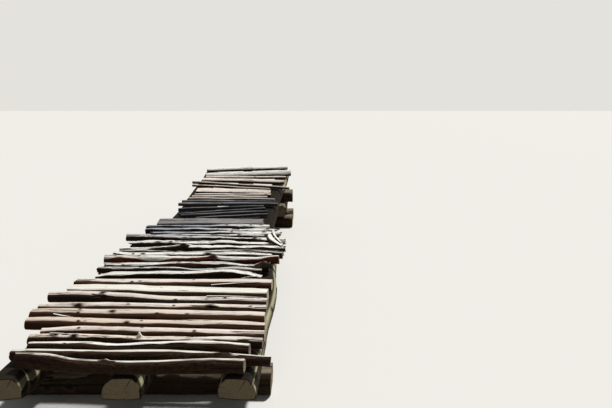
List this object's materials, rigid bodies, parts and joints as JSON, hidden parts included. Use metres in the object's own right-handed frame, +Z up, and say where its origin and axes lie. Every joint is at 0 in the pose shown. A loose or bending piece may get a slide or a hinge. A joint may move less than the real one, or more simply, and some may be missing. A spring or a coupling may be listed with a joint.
{
  "type": "rustic log footbridge",
  "caption": "Rustic footbridge of weathered poles, half logs and slabs laid across three natural logs, its far end rising to a log crib.",
  "frame": {"origin": "middle of the low sill's flat underside, on the ground plane", "axes": "+X across the deck, to the right of a walker who starts at the low end; +Y along the deck from the low end to the high end; +Z up"},
  "size_m": [1.6956, 4.7791, 0.7867],
  "materials": {
    "weathered_wood": "matt, sun-bleached and cracked",
    "barked_pole": "matt, rough bark worn through on top",
    "stringer_wood": "matt, weathered",
    "sill_wood": "matt, damp and weathered"
  },
  "bodies": {
    "root": {"tread_01": "barked_pole", "tread_02": "barked_pole", "tread_03": "weathered_wood", "tread_04": "weathered_wood", "tread_05": "barked_pole", "tread_06": "weathered_wood", "tread_07": "weathered_wood", "tread_08": "weathered_wood", "tread_09": "weathered_wood", "tread_10": "weathered_wood", "tread_11": "weathered_wood", "tread_12": "weathered_wood", "tread_13": "weathered_wood", "tread_14": "weathered_wood", "tread_15": "weathered_wood", "tread_16": "weathered_wood", "tread_17": "weathered_wood", "tread_18": "weathered_wood", "tread_19": "weathered_wood", "tread_20": "weathered_wood", "tread_21": "weathered_wood", "tread_22": "weathered_wood", "tread_23": "weathered_wood", "tread_24": "weathered_wood", "tread_25": "weathered_wood", "tread_26": "weathered_wood", "tread_27": "weathered_wood", "tread_28": "weathered_wood", "tread_29": "weathered_wood", "tread_30": "weathered_wood", "tread_31": "weathered_wood", "tread_32": "weathered_wood", "tread_33": "weathered_wood", "tread_34": "weathered_wood", "tread_35": "weathered_wood", "tread_36": "weathered_wood", "tread_37": "weathered_wood", "tread_38": "weathered_wood", "tread_39": "weathered_wood", "tread_40": "weathered_wood", "tread_41": "weathered_wood", "tread_42": "weathered_wood", "stringer_left": "stringer_wood", "stringer_middle": "stringer_wood", "stringer_right": "stringer_wood", "low_sill": "sill_wood", "crib_sill_front": "sill_wood", "crib_sill_back": "sill_wood", "crib_block_left": "sill_wood", "crib_block_right": "sill_wood", "crib_bearer": "sill_wood"}
  },
  "joints": []
}
